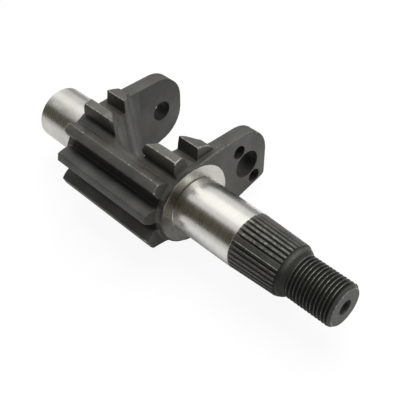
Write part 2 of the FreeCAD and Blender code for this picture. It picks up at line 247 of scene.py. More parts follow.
def block_tooth():
    """Closed outline of the first tooth: an upright flank, the tip circle and a hollow back down to the ears.

    The flank's ends lie on the hub's circle and on the tip circle, each as high as the root of the radius squared
    less Y squared.
    """
    foot = (BLOCK_FOOT_Y, math.sqrt(HUB_RADIUS ** 2 - BLOCK_FOOT_Y ** 2))
    tip = (BLOCK_TIP_Y, math.sqrt(TIP_RADIUS ** 2 - BLOCK_TIP_Y ** 2))
    start = math.degrees(math.atan2(tip[1], tip[0]))
    land = on_circle(TIP_RADIUS, np.linspace(start, BLOCK_LAND_END, 16))
    back = arc_through(BLOCK_BACK, BLOCK_HOLLOW, (EAR_TOP_START, EAR_TOP), 6)
    return np.vstack([[(BLOCK_FOOT_Y, BLOCK_BASE_Z)], [foot], land, back, [(EAR_TOP_START, BLOCK_BASE_Z)]])


def last_tooth():
    """Closed outline of the last tooth: one whole side, the tip circle and a nearly level underside."""
    centre = FIRST_TOOTH + WHOLE_TEETH * TOOTH_PITCH
    side, land = tooth_side(-1, centre)
    tip = on_circle(TIP_RADIUS, np.linspace(centre - land, LAST_LAND_END, 20))
    heel = on_circle(TIP_RADIUS - LAST_HEEL_DEPTH, [LAST_HEEL_ANGLE])
    foot = on_circle(HUB_RADIUS - LAST_FOOT_DEPTH, [LAST_FOOT_ANGLE])
    return np.vstack([side, tip, heel, foot])


def ear_outline(tip_y, tip_radius, corner_radius, under_radius):
    """Closed outline of an ear: from the hub up to the level top, round the tip, down an upright edge, round a
    corner and back along a sloping straight edge that passes the axis at a distance.

    The corner's arc touches both edges, and starts above their crossing by its radius times the tangent of half
    the angle that it turns. The last side leaves the straight edge's end and touches the hub's circle.
    """
    rise = np.vstack([on_circle(HUB_RADIUS, [EAR_RISE]), [(EAR_TOP_START, EAR_TOP)]])
    tip = on_circle(tip_radius, np.linspace(90, 0, 40), (tip_y, EAR_TOP - tip_radius))
    outer = tip_y + tip_radius
    c, s = math.cos(UNDER_SLOPE), math.sin(UNDER_SLOPE)
    corner_z = outer * math.tan(UNDER_SLOPE) - under_radius / c
    trim = corner_radius * math.tan((math.pi / 2 - UNDER_SLOPE) / 2)
    corner = on_circle(corner_radius, np.linspace(0, math.degrees(UNDER_SLOPE) - 90, 24),
                       (outer - corner_radius, corner_z + trim))
    heel = (under_radius * s - UNDER_OVERRUN * c, -under_radius * c - UNDER_OVERRUN * s)
    turn = math.degrees(math.atan2(heel[1], heel[0]) - math.acos(HUB_RADIUS / math.hypot(*heel)))
    joined = on_circle(HUB_RADIUS, [turn])
    inside = on_circle(HUB_RADIUS - 4, [turn, EAR_RISE])
    return np.vstack([rise, tip, corner, [heel], joined, inside])


def recess_outline():
    """Closed outline of the recess in plan, as (x from its middle, y): a round end, then flares to the ears.

    Each flare is two equal arcs that bend opposite ways and meet halfway. Their radius is the square of an arc's
    chord over twice its reach across.
    """
    start_x = math.sqrt(RECESS_RADIUS ** 2 - (RECESS_CENTRE - FLARE_START) ** 2)
    half_gap = (FRONT_EAR_BACK - REAR_EAR_FRONT) / 2
    end_y = FLARE_START + FLARE_LENGTH
    middle = ((start_x + half_gap) / 2, (FLARE_START + end_y) / 2)
    half = (middle[0] - start_x, middle[1] - FLARE_START)
    bend = (half[0] ** 2 + half[1] ** 2) / (2 * half[0])
    turn = np.linspace(0, 2 * math.atan2(*half), 12)
    across, along = bend - bend * np.cos(turn), bend * np.sin(turn)
    flare = np.vstack([np.column_stack([start_x + across, FLARE_START + along]),
                       np.column_stack([half_gap - across, end_y - along])[::-1][1:], [(half_gap, OPEN_END)]])
    end_x = math.sqrt(RECESS_RADIUS ** 2 - RECESS_CENTRE ** 2)
    end = arc_through((-end_x, 0), (0, RECESS_END), (end_x, 0), 40)
    turn = np.arccos(np.linspace(end_x, start_x, 8) / RECESS_RADIUS)
    side = np.column_stack([RECESS_RADIUS * np.cos(turn), RECESS_CENTRE - RECESS_RADIUS * np.sin(turn)])
    side = np.vstack([side[1:], flare[1:]])
    return np.vstack([end, side, (side * (-1, 1))[::-1]])


# ---- Distances: negative inside a shape, positive outside ----


class OutlineDistance:
    """Signed distance to a closed outline, worked out once on a square grid and read back by linear mixing."""

    def __init__(self, outline, low, high, step=0.2):
        """Keeps the distance to the nearest side at each grid point, negative where a ray meets an odd number."""
        outline = outline[np.hypot(*(outline - np.roll(outline, 1, axis=0)).T) > 1e-6]
        self.low, self.step = np.asarray(low, float), step
        rows = np.arange(low[0], high[0] + step, step)
        columns = np.arange(low[1], high[1] + step, step)
        a, b = np.meshgrid(rows, columns, indexing="ij")
        nearest = np.full(a.shape, np.inf)
        inside = np.zeros(a.shape, bool)
        for start, end in zip(outline, np.roll(outline, -1, axis=0)):
            edge = end - start
            share = np.clip(((a - start[0]) * edge[0] + (b - start[1]) * edge[1]) / (edge @ edge), 0, 1)
            gap = (a - start[0] - share * edge[0]) ** 2 + (b - start[1] - share * edge[1]) ** 2
            np.minimum(nearest, gap, out=nearest)
            if start[1] != end[1]:
                crossed = (start[1] > b) != (end[1] > b)
                inside ^= crossed & (a < start[0] + (b - start[1]) * edge[0] / edge[1])
        self.table = np.sqrt(nearest) * np.where(inside, -1, 1)

    def __call__(self, a, b):
        """Distance at given points, mixed from the four grid points round each."""
        u = np.clip((a - self.low[0]) / self.step, 0, self.table.shape[0] - 1.001)
        v = np.clip((b - self.low[1]) / self.step, 0, self.table.shape[1] - 1.001)
        i, j = u.astype(np.int32), v.astype(np.int32)
        u, v = u - i, v - j
        t = self.table
        return ((t[i, j] * (1 - u) + t[i + 1, j] * u) * (1 - v)
                + (t[i, j + 1] * (1 - u) + t[i + 1, j + 1] * u) * v)


def blend_max(a, b, width):
    """The larger of two distances, with the edge between them rounded over a width.

    It grows by a quarter of the width times the square of their nearness, which is one where they are equal and
    nought where they differ by the width or more.
    """
    near = np.maximum(width - np.abs(a - b), 0) / width
    return np.maximum(a, b) + near * near * width / 4


def blend_min(a, b, width):
    """The smaller of two distances, with the corner between them filled over a width: it loses as much as
    blend_max gains."""
    near = np.maximum(width - np.abs(a - b), 0) / width
    return np.minimum(a, b) - near * near * width / 4


def filled_corner(a, b, radius):
    """Distance to either of two shapes, with a true round of a radius in the corner between them.

    It is the smaller distance, or the radius if that is more, less the root of the sum of the squares of how far
    each distance falls short of the radius.
    """
    inward = np.hypot(np.maximum(radius - a, 0), np.maximum(radius - b, 0))
    return np.maximum(radius, np.minimum(a, b)) - inward


ACROSS_LOW, ACROSS_HIGH = (-36, -34), (60, 36)
whole_teeth = [whole_tooth(FIRST_TOOTH + k * TOOTH_PITCH) for k in range(WHOLE_TEETH)]
toothing, *other_teeth = [OutlineDistance(outline, ACROSS_LOW, (24, 36))
                          for outline in [block_tooth(), *whole_teeth, last_tooth()]]
for other_tooth in other_teeth:
    toothing.table = np.minimum(toothing.table, other_tooth.table)
front_ear_distance = OutlineDistance(ear_outline(*FRONT_EAR), ACROSS_LOW, ACROSS_HIGH)
rear_ear_distance = OutlineDistance(ear_outline(*REAR_EAR), ACROSS_LOW, ACROSS_HIGH)
recess_distance = OutlineDistance(recess_outline(), (-42, -14), (42, 62))
screw_places = on_circle(SCREW_CIRCLE, SCREW_ANGLES, EAR_BORE)


def leaned(y, z):
    """Y and Z turned by the recess's lean: along its middle plane, Y cos + Z sin, and up it, Z cos - Y sin."""
    c, s = math.cos(RECESS_LEAN), math.sin(RECESS_LEAN)
    return y * c + z * s, z * c - y * s


def body_distance(x, y, z):
    """Hub and teeth, joined to the ears, less the leaning recess and the holes. Lengths in millimetres.

    Shapes are joined by taking the smaller of their distances. A cut takes the larger of the shape's distance and
    the cutter's with its sign turned. Edges and corners are blended over their named widths.
    """
    past_hub = np.hypot(y, z) - HUB_RADIUS
    past_face = np.abs(x - HUB_MIDDLE) - HUB_HALF
    hub = np.maximum(past_hub, past_face)
    hub = np.maximum(hub, (past_hub + past_face + HUB_CHAMFER) * math.sqrt(0.5))
    ends = filled_corner(np.abs(x - TEETH_MIDDLE) - TEETH_HALF, past_hub, END_FILLET)
    ends = np.maximum(ends, past_face + HUB_CHAMFER / 2)
    gear = np.minimum(hub, blend_max(toothing(y, z), ends, TOOTH_EDGE))
    front = blend_max(front_ear_distance(y, z), x - FRONT_EAR_FACE, FRONT_EAR_EDGE)
    rear = blend_max(rear_ear_distance(y, z), HUB_REAR + 0.02 - x, REAR_EAR_EDGE)
    whole = blend_min(gear, np.where(x > RECESS_X, front, rear), EAR_JOIN)

    across = x - RECESS_X
    deep_y, height = leaned(y, z)
    wall = -recess_distance(across, deep_y)
    lip = (LIP_RADIUS - np.clip(LIP_TOP - height, 0, 40) - np.hypot(across, deep_y - RECESS_CENTRE)) * 0.8
    near_lip = np.clip((height - 10) / 5, 0, 1) * np.clip((4 - deep_y) / 4, 0, 1)
    cut = np.where(near_lip > 0, blend_max(wall, lip, 0.05 + LIP_FOOT * near_lip), wall)
    whole = blend_max(whole, cut, RECESS_EDGE + LIP_EDGE * near_lip)

    from_bore = np.hypot(y - EAR_BORE[0], z - EAR_BORE[1])
    boss = np.maximum(from_bore - BOSS_RADIUS, FRONT_EAR_BACK - BOSS_HEIGHT - x)
    whole = np.minimum(whole, np.maximum(boss, x - FRONT_EAR_FACE + 2))
    bore = np.where(x > RECESS_X, FRONT_BORE_RADIUS, REAR_BORE_RADIUS) - from_bore
    whole = blend_max(whole, bore, BORE_EDGE)
    for place in screw_places:
        hole = np.minimum(SCREW_RADIUS - np.hypot(y - place[0], z - place[1]), x - RECESS_X)
        whole = blend_max(whole, hole, SCREW_EDGE)
    return whole


def slope_of(field, points, reach=0.04):
    """Direction in which a distance grows, from its differences over a short reach each way."""
    slopes = np.empty_like(points)
    for axis in range(3):
        ahead, behind = points.copy(), points.copy()
        ahead[:, axis] += reach
        behind[:, axis] -= reach
        slopes[:, axis] = field(*ahead.T) - field(*behind.T)
    return slopes / np.maximum(np.linalg.norm(slopes, axis=1, keepdims=True), 1e-9)


# Index pairs of a symmetric 3 x 3 table: its diagonal, then its upper half
PAIRS = ((0, 0), (1, 1), (2, 2), (0, 1), (0, 2), (1, 2))


def surface_of(field, lines):
    """Mesh of the surface where a distance is nought, on a box grid given by its lines along X, Y and Z.

    Each grid box that the surface passes gets one vertex, at the point that lies nearest to the tangent planes
    where the surface crosses the box's edges, so flat faces stay flat and edges stay sharp. It is held lightly
    to the mean of the crossings, and to its box widened by a tenth. Each crossed grid edge gives one four-sided
    face, between the boxes round it.
    """
    grid = np.stack(np.meshgrid(*lines, indexing="ij"), -1)
    values = field(*grid.reshape(-1, 3).T).reshape(grid.shape[:3])
    shape = tuple(len(line) - 1 for line in lines)
    total = math.prod(shape)
    # For each box: the number of crossings, the sum of their places, and the sums of the planes' equations
    sums = np.zeros((4 + len(PAIRS) + 3, total))
    rings = []
    for axis in range(3):
        one, two = (axis + 1) % 3, (axis + 2) % 3
        low = [slice(None)] * 3
        high = [slice(None)] * 3
        low[axis], high[axis] = slice(None, -1), slice(1, None)
        a, b = values[tuple(low)], values[tuple(high)]
        crossed = (a < 0) != (b < 0)
        at = np.argwhere(crossed)
        a, b = a[crossed], b[crossed]
        start, end = grid[tuple(low)][crossed], grid[tuple(high)][crossed]
        share = (a / (a - b))[:, None]
        where = start + (end - start) * share
        found = field(*where.T)
        outside = np.sign(found) == np.sign(b)
        other = np.where(outside, a, b)
        other_share = np.where(outside, 0, 1)[:, None]
        step = (found / np.where(np.abs(found - other) > 1e-9, found - other, 1e-9))[:, None]
        share = share + (other_share - share) * np.clip(step, 0, 1)
        where = start + (end - start) * share
        normal = slope_of(field, where)
        reach = (normal * where).sum(1)
        products = [normal[:, i] * normal[:, j] for i, j in PAIRS]
        rows = np.column_stack([np.ones(len(at)), where, *products, normal * reach[:, None]])
        inner = ((at[:, one] > 0) & (at[:, two] > 0) & (at[:, one] < len(lines[one]) - 1)
                 & (at[:, two] < len(lines[two]) - 1))
        at, rows, rising = at[inner], rows[inner], (a < 0)[inner]
        ring = []
        for back_one, back_two in ((1, 1), (0, 1), (0, 0), (1, 0)):
            box = at.copy()
            box[:, one] -= back_one
            box[:, two] -= back_two
            index = np.ravel_multi_index(box.T, shape)
            ring.append(index)
            for row in range(len(sums)):
                sums[row] += np.bincount(index, rows[:, row], total)
        ring = np.column_stack(ring)
        ring[~rising] = ring[~rising][:, ::-1]
        rings.append(ring)
    rings = np.vstack(rings)
    used = np.unique(rings)
    sums = sums[:, used]
    count = sums[0]
    centre = (sums[1:4] / count).T
    matrix = np.empty((len(used), 3, 3))
    for (i, j), row in zip(PAIRS, sums[4:]):
        matrix[:, i, j] = matrix[:, j, i] = row
    pull = sums[-3:].T - np.einsum("nij,nj->ni", matrix, centre)
    matrix += np.eye(3) * (0.04 * count[:, None, None])
    points = centre + np.linalg.solve(matrix, pull[..., None])[..., 0]
    box = np.column_stack(np.unravel_index(used, shape))
    floor = np.column_stack([lines[k][box[:, k]] for k in range(3)])
    roof = np.column_stack([lines[k][box[:, k] + 1] for k in range(3)])
    spare = (roof - floor) * 0.1
    points = np.clip(points, floor - spare, roof + spare)
    number = np.full(total, -1)
    number[used] = np.arange(len(used))
    return points, number[rings]


# ---- Meshes ----


def rolled(points):
    """Points in millimetres, turned about X into the rest position, to Y cos - Z sin and Y sin + Z cos, and given
    in metres."""
    x, y, z = np.asarray(points, float).T
    c, s = math.cos(REST_ROLL), math.sin(REST_ROLL)
    return np.column_stack([x, y * c - z * s, y * s + z * c]) * MM


def add_object(name, data):
    """A new object in the scene, from a mesh, a lamp or a camera."""
    obj = bpy.data.objects.new(name, data)
    bpy.context.scene.collection.objects.link(obj)
    return obj


def make_piece(name, points, faces, material, attributes, corner_normals=None):
    """Builds one visible piece from arrays, in the place of the CAD node that it stands for."""
    mesh = bpy.data.meshes.new(name)
    mesh.from_pydata(np.clip(rolled(points), *cad_box), [], faces)
    mesh.update()
    for label, values in attributes.items():
        layer = mesh.attributes.new(label, "FLOAT", "POINT")
        layer.data.foreach_set("value", np.asarray(values, np.float32))
    mesh.polygons.foreach_set("use_smooth", np.ones(len(mesh.polygons), bool))
    mesh.materials.append(material)
    if corner_normals is not None:
        mesh.normals_split_custom_set(rolled(corner_normals) / MM)
    obj = add_object(name, mesh)
    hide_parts("sector_shaft")
    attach(obj, "root")


def turned_grid(stations, angles, radius_of):
    """Points of a turned surface: at each (x, radius) station and angle, (x, r cos, r sin) with r from radius_of.

    Both ends close in a pole on the axis.
    """
    x, angle = np.meshgrid(stations[:, 0], angles, indexing="ij")
    r = radius_of(x, stations[:, 1:], angle)
    ring = np.stack([x, r * np.cos(angle), r * np.sin(angle)], -1).reshape(-1, 3)
    points = np.vstack([ring, [(stations[0, 0], 0, 0), (stations[-1, 0], 0, 0)]])
    rows, columns = len(stations), len(angles)
    i, j = np.meshgrid(np.arange(rows - 1) * columns, np.arange(columns), indexing="ij")
    k = (j + 1) % columns
    quads = np.stack([i + j, i + k, i + columns + k, i + columns + j], -1).reshape(-1, 4)
    j, k = j[0], k[0]
    base = (rows - 1) * columns
    first = np.column_stack([np.full(columns, rows * columns), k, j])
    last = np.column_stack([np.full(columns, rows * columns + 1), base + j, base + k])
    return points, quads.tolist() + first.tolist() + last.tolist()


def profile(*corners, step=1):
    """Stations along straight lines between (x, radius) corners, no further apart than a step, with corners
    doubled closely so that they shade crisply."""
    corners = np.asarray(corners, float)
    parts = [corners[:1]]
    for a, b in zip(corners[:-1], corners[1:]):
        length = math.hypot(*(b - a))
        ease = min(0.06, length / 4) / length
        shares = np.r_[ease, np.linspace(0, 1, max(2, int(length / step) + 1))[1:-1], 1 - ease, 1]
        parts.append(a + (b - a) * shares[:, None])
    return np.vstack(parts)


def plain_radius(x, r, angle):
    """The profile's own radius, all the way round."""
    return r


def at_marks(values, *marks):
    """Amounts at given values, on straight lines between (value, amount) marks and level beyond them."""
    return np.interp(values, *zip(*marks))


# ---- Materials ----

# Dark phosphate coat
COAT_DARK = (0.034, 0.034, 0.030, 1)
COAT_LIGHT = (0.062, 0.061, 0.054, 1)
COAT_BROWN = (0.052, 0.043, 0.030, 1)
COAT_RUB_AND_HIGHLIGHT = (0.125, 0.122, 0.108, 1)
# Colour of the painted shade in corners, recesses, holes and grooves
COAT_PAINTED_SHADE = (0.013, 0.013, 0.010, 1)
WORN_BODY = (0.34, 0.335, 0.31, 1)
# The seat's and the thread's paler colours stand for both worn edges and painted highlights
WORN_SEAT_AND_HIGHLIGHT = (0.27, 0.275, 0.25, 1)
WORN_THREAD_AND_HIGHLIGHT = (0.26, 0.255, 0.235, 1)

# Ground thrust rings, and the brown that darkens them on one side, partly an oxide film and partly painted shade
RING_DARK = (0.43, 0.42, 0.39, 1)
RING_LIGHT = (0.48, 0.47, 0.445, 1)
RING_HAZE_AND_SHADE = (0.105, 0.094, 0.072, 1)
RING_EDGE = 0.0228
TURNING_PITCH = 0.00022

# Ground journals
STEEL_DARK = (0.59, 0.58, 0.555, 1)
STEEL_LIGHT = (0.62, 0.61, 0.585, 1)
STEEL_WARM = (0.50, 0.45, 0.38, 1)
STEEL_STAIN_AND_SHADE = (0.09, 0.08, 0.05, 1)


class Shading:
    """A material or a world under construction: most calls add one node and give back its output."""

    def __init__(self, name, shader="Principled BSDF", store=bpy.data.materials):
        """Starts with the usual shader and the object's own coordinates."""
        self.made = store.new(name)
        self.made.use_nodes = True
        self.nodes, self.links = self.made.node_tree.nodes, self.made.node_tree.links
        self.shader = self.nodes[shader]
        self.place = self.add("ShaderNodeTexCoord").outputs["Object"]

    def add(self, kind, *inputs, **settings):
        """A new node of a kind, with its settings, and its inputs fed from (name or number, value) pairs."""
        node = self.nodes.new(kind)
        for label, value in settings.items():
            setattr(node, label, value)
        for label, value in inputs:
            self.feed(node.inputs[label], value)
        return node

    def feed(self, socket, value):
        """Sets a socket to a number or a colour, or joins another node's output to it."""
        if isinstance(value, bpy.types.NodeSocket):
            self.links.new(value, socket)
        else:
            socket.default_value = value

    def attribute(self, name):
        """A value that the mesh carries at its points."""
        return self.add("ShaderNodeAttribute", attribute_name=name).outputs["Fac"]

    def calc(self, operation, a, b=0, clamp=False):
        """One sum on two values, held between nought and one if asked."""
        return self.add("ShaderNodeMath", (0, a), (1, b), operation=operation, use_clamp=clamp).outputs[0]

    def noise(self, scale, detail=2, roughness=0.5, stretch=(1, 1, 1)):
        """Noise with a number of cells to the metre, more of them along the stretched axes."""
        turn = self.add("ShaderNodeMapping", ("Vector", self.place), ("Scale", stretch))
        return self.add("ShaderNodeTexNoise", ("Vector", turn.outputs[0]), ("Scale", scale), ("Detail", detail),
                        ("Roughness", roughness)).outputs["Fac"]

    def ramp(self, value, low, high, start=0, end=1):
        """Smooth step of a value, from start below the low mark to end above the high one."""
        return self.add("ShaderNodeMapRange", ("Value", value), ("From Min", low), ("From Max", high),
                        ("To Min", start), ("To Max", end), interpolation_type="SMOOTHSTEP").outputs[0]

    def blend(self, share, a, b):
        """A share of colour b over colour a."""
        return self.add("ShaderNodeMix", (0, share), (6, a), (7, b), data_type="RGBA").outputs[2]

    def bump(self, height, distance, strength, *under):
        """Small relief from a height, laid over another relief if one is given."""
        return self.add("ShaderNodeBump", ("Height", height), ("Distance", distance), ("Strength", strength),
                        *(("Normal", normal) for normal in under)).outputs[0]

    def radius(self):
        """Distance of the shaded point from the shaft's axis, in metres, with its X."""
        x, y, z = self.add("ShaderNodeSeparateXYZ", (0, self.place)).outputs
        return self.calc("SQRT", self.calc("ADD", self.calc("POWER", y, 2), self.calc("POWER", z, 2))), x

    def show(self, surface):
        """Shows a shader in place of the usual one, and gives back the material."""
        self.feed(self.nodes["Material Output"].inputs["Surface"], surface)
        return self.made

    def finish(self, *values):
        """Feeds the usual shader's colour, metal, roughness and normal, and gives back the material."""
        for label, value in zip(("Base Color", "Metallic", "Roughness", "Normal"), values):
            self.feed(self.shader.inputs[label], value)
        return self.made


def phosphate_colours(s):
    """Dark phosphate: blotches a centimetre wide, mottling of half a millimetre and a brown cast in places."""
    blotches = s.noise(75, 3)
    mottle = s.noise(1300, 4, 0.65)
    tone = s.ramp(s.calc("ADD", s.calc("MULTIPLY", blotches, 0.6), s.calc("MULTIPLY", mottle, 0.4)), 0.36, 0.64)
    colour = s.blend(tone, COAT_DARK, COAT_LIGHT)
    brown = s.ramp(s.noise(48, 2, 0.6), 0.5, 0.72, 0, 0.5)
    colour = s.blend(brown, colour, COAT_BROWN)
    # Paler coat, worn in places and a painted highlight on the upper lands
    rub_and_painted_highlight = s.calc("MULTIPLY", s.attribute("rub_and_painted_highlight"), s.ramp(mottle, 0.3, 0.6, 0.6, 1))
    return s.blend(rub_and_painted_highlight, colour, COAT_RUB_AND_HIGHLIGHT), mottle


def dark_finish(name, paling_start, paling_end, worn):
    """Dark phosphate over steel, worn light where the attribute 'edge' is high, and darkened by painted shade
    where 'hollow' is high. On the seat and the thread, 'edge' also brings a painted highlight.
    """
    s = Shading(name)
    colour, mottle = phosphate_colours(s)
    edge, hollow = s.attribute("edge"), s.attribute("hollow")
    patchy = s.calc("MULTIPLY", s.calc("SUBTRACT", s.noise(520, 3, 0.7), 0.5), 1.1)
    wear_and_highlight = s.ramp(s.calc("ADD", edge, patchy), paling_start, paling_end)
    wear_and_highlight = s.calc("MULTIPLY", wear_and_highlight, s.ramp(edge, 0.06, 0.3))
    # Painted shade: 'hollow' darkens the coat towards a near-black colour and lowers its gloss
    painted_shade = s.calc("MULTIPLY", hollow, 0.6, True)
    unshaded = s.calc("SUBTRACT", 1, painted_shade)
    colour = s.blend(painted_shade, colour, COAT_PAINTED_SHADE)
    colour = s.blend(wear_and_highlight, colour, worn)
    s.feed(s.shader.inputs["Specular IOR Level"], s.calc("ADD", 0.1, s.calc("MULTIPLY", unshaded, 0.4)))
    metallic = s.calc("ADD", s.calc("MULTIPLY", unshaded, 0.25), s.calc("MULTIPLY", wear_and_highlight, 0.55))
    rough = s.calc("ADD", s.ramp(mottle, 0.3, 0.7, 0.42, 0.6), s.calc("MULTIPLY", wear_and_highlight, -0.1))
    normal = s.bump(s.noise(190, 3, 0.55), 0.0004, 0.35)
    normal = s.bump(mottle, 0.00012, 0.5, normal)
    return s, colour, metallic, rough, normal


def body_finish(name):
    """The phosphate coat, with bright turned thrust rings on both faces of the hub.

    A ring reaches out to a ragged edge, moved by the attribute 'reach', and darkens to brown on its left and
    lower side, partly an oxide film and partly painted shade in what it mirrors.
    """
    s, colour, metallic, rough, normal = dark_finish(name, 0.3, 0.62, WORN_BODY)
    radius, x = s.radius()
    ragged = s.calc("MULTIPLY", s.calc("SUBTRACT", s.noise(300, 3), 0.5), 0.0006)
    moved = s.attribute("reach")
    reach = s.calc("SUBTRACT", s.calc("ADD", radius, ragged), moved)
    outer = s.ramp(reach, RING_EDGE, RING_EDGE + 0.0002, 1, 0)
    front = s.ramp(s.calc("ADD", x, s.calc("MAXIMUM", moved, 0)), -0.10036, -0.10031)
    rear = s.ramp(x, -0.17969, -0.17964, 1, 0)
    ring = s.calc("MULTIPLY", outer, s.calc("MAXIMUM", front, rear))
    steel = s.blend(s.ramp(s.noise(140, 3), 0.35, 0.65), RING_DARK, RING_LIGHT)
    steel = s.blend(s.attribute("haze_and_painted_shade"), steel, RING_HAZE_AND_SHADE)
    turning = s.calc("SINE", s.calc("MULTIPLY", radius, TAU / TURNING_PITCH))
    ring_rough = s.ramp(s.noise(700, 3), 0.3, 0.7, 0.26, 0.4)
    ring_normal = s.bump(turning, 0.000006, 0.6)
    normal = s.add("ShaderNodeMix", (0, ring), (4, normal), (5, ring_normal), data_type="VECTOR").outputs[1]
    rough = s.calc("MULTIPLY", rough, s.calc("SUBTRACT", 1, ring))
    rough = s.calc("ADD", rough, s.calc("MULTIPLY", ring_rough, ring))
    return s.finish(s.blend(ring, colour, steel), s.calc("MAXIMUM", metallic, ring), rough, normal)


def plain_dark_finish(name, *settings):
    """The phosphate coat by itself, with the start, end and colour of its paler edges, which are worn and on the
    seat and the thread also a painted highlight.
    """
    s, *values = dark_finish(name, *settings)
    return s.finish(*values)


def ground_finish(name):
    """Ground steel: fine lines round the shaft, faint bands, warm patches, and olive darkening by an attribute,
    partly a stained patch and mostly painted shade.
    """
    s = Shading(name)
    lines = s.noise(10, 3, 0.7, (420, 1.2, 1.2))
    bands = s.noise(10, 2, 0.5, (26, 2, 2))
    tone = s.ramp(s.calc("ADD", s.calc("MULTIPLY", lines, 0.15), s.calc("MULTIPLY", bands, 0.85)), 0.3, 0.7)
    colour = s.blend(tone, STEEL_DARK, STEEL_LIGHT)
    patch = s.ramp(s.noise(85, 4, 0.6), 0.45, 0.7, 0, 0.07)
    colour = s.blend(patch, colour, STEEL_WARM)
    # Olive darkening: a stained patch by the front hub, and painted shade in the corners and along the rear
    # journal
    mark = s.attribute("stain")
    stain = s.calc("MULTIPLY", mark, s.ramp(s.noise(160, 3, 0.5), 0.3, 0.6, 0.5, 1))
    stain = s.calc("MAXIMUM", stain, s.calc("SUBTRACT", mark, 1), True)
    colour = s.blend(stain, colour, STEEL_STAIN_AND_SHADE)
    rough = s.calc("ADD", s.ramp(bands, 0.3, 0.7, 0.26, 0.28), s.ramp(lines, 0.3, 0.7, 0, 0.01))
    rough = s.calc("ADD", rough, s.calc("MULTIPLY", stain, 0.25))
    return s.finish(colour, 1, rough, s.bump(lines, 0.000004, 0.03))


body_coat = body_finish("dark phosphate with ground rings")
seat_coat = plain_dark_finish("dark phosphate of the serrations", 0.3, 0.85, WORN_SEAT_AND_HIGHLIGHT)
thread_coat = plain_dark_finish("dark phosphate of the thread", 0.5, 1, WORN_THREAD_AND_HIGHLIGHT)
ground = ground_finish("ground steel")


# ---- Pieces ----


def spaced(start, *spans):
    """Grid lines from a start over several spans, each given as (end, step)."""
    parts = []
    for end, step in spans:
        parts.append(np.linspace(start, end, max(2, int(round((end - start) / step)) + 1)))
        start = end
    return np.unique(np.round(np.concatenate(parts), 4))


# The grid is finest at the hub's faces, and fine at the teeth's ends and the ears' inner faces
along = spaced(-180.6, (-179.2, 0.28), (-177, 0.8), (-174.6, 0.4), (-171, 1.2), (-168.6, 0.4), (-148, 0.9),
               (-131, 1.1), (-111.6, 0.9), (-108.2, 0.4), (-105, 1.2), (-102.6, 0.4), (-101, 0.8), (-99.6, 0.28))
sideways = spaced(-33.4, (57.4, 0.55))
upwards = spaced(-31.4, (33.6, 0.55))
body_points, body_faces = surface_of(body_distance, (along, sideways, upwards))
corners = body_points[body_faces]
corners = corners * 0.75 + corners.mean(1, keepdims=True) * 0.25
body_normals = slope_of(body_distance, corners.reshape(-1, 3))
body_outward = slope_of(body_distance, body_points)
body_x, body_y, body_z = body_points.T
body_r = np.hypot(body_y, body_z)
body_angle = np.degrees(np.arctan2(body_z, body_y)) % 360

toothed = body_y < 16.5
near_tips = body_r > TIP_RADIUS - 0.9
on_land = body_r > TIP_RADIUS - 0.25
on_ear_rim = (body_x > FRONT_EAR_FACE - 0.9) & (body_z > 22.6) & (body_y > 1)


def nearness(reach, side):
    """How much closer the surface lies than on a flat face, at a reach from it, as a share of the reach: inwards
    (side -1) at edges, outwards (side 1) in corners."""
    found = body_distance(*(body_points + side * reach * body_outward).T)
    return np.clip((reach - side * found) / reach, 0, 1)


def around(angle, degrees, width):
    """One at a direction round the shaft, falling off as a bell curve of a width in degrees."""
    away = (np.degrees(angle) - degrees + 180) % 360 - 180
    return np.exp(-(away / width) ** 2)


def nick(at_x, at_angle, long, wide):
    """One at a place on a tooth's tip, falling off as a bell curve of a length in millimetres and a width in
    degrees."""
    near = np.exp(-((body_x - at_x) / long) ** 2 - ((body_angle - at_angle) / wide) ** 2)
    return near * (body_r > TIP_RADIUS - 1.5)


def edge_share():
    """How much each edge is worn: the tips of the upper teeth and the front ear's top rim most, bores hardly."""
    tips = at_marks(body_angle, (45, 0.45), (90, 0.55), (115, 0.62), (122, 0.47), (136, 0.45), (139, 0.25),
                    (165, 0.2), (196, 0.2), (199, 0.5), (215, 0.5))
    share = np.where(on_ear_rim, 0.34, np.where(near_tips, tips, 0.13))
    at_recess = np.abs(recess_distance(body_x - RECESS_X, leaned(body_y, body_z)[0])) < 1.5
    cut_ends = ((np.abs(body_angle - FIRST_TOOTH) < 12) & (body_r > HUB_RADIUS + 3)
                & (np.abs(body_x - RECESS_X) < 23))
    share = np.where(cut_ends, 0.24, np.where(at_recess, 0.06, share))
    from_bore = np.hypot(body_y - EAR_BORE[0], body_z - EAR_BORE[1])
    return np.where(from_bore < SCREW_CIRCLE + SCREW_RADIUS + 1, 0.06, share)


def hole_painted_shade():
    """Painted shade on the walls of the ears' bores and screw holes, less of it low on the front ear's near side,
    where light falls in.
    """
    front = body_x > RECESS_X
    bore_radius = np.where(front, FRONT_BORE_RADIUS, REAR_BORE_RADIUS) + 0.15
    holes = [(EAR_BORE, bore_radius, True)] + [(place, SCREW_RADIUS + 0.1, front) for place in screw_places]
    painted_shade = np.zeros(len(body_points))
    for centre, radius, drilled in holes:
        across, up = body_y - centre[0], body_z - centre[1]
        lit = around(np.arctan2(up, across), -125, 38) * front
        painted_shade = np.where((np.hypot(across, up) < radius) & drilled, 1.4 - 1.25 * lit, painted_shade)
    return painted_shade


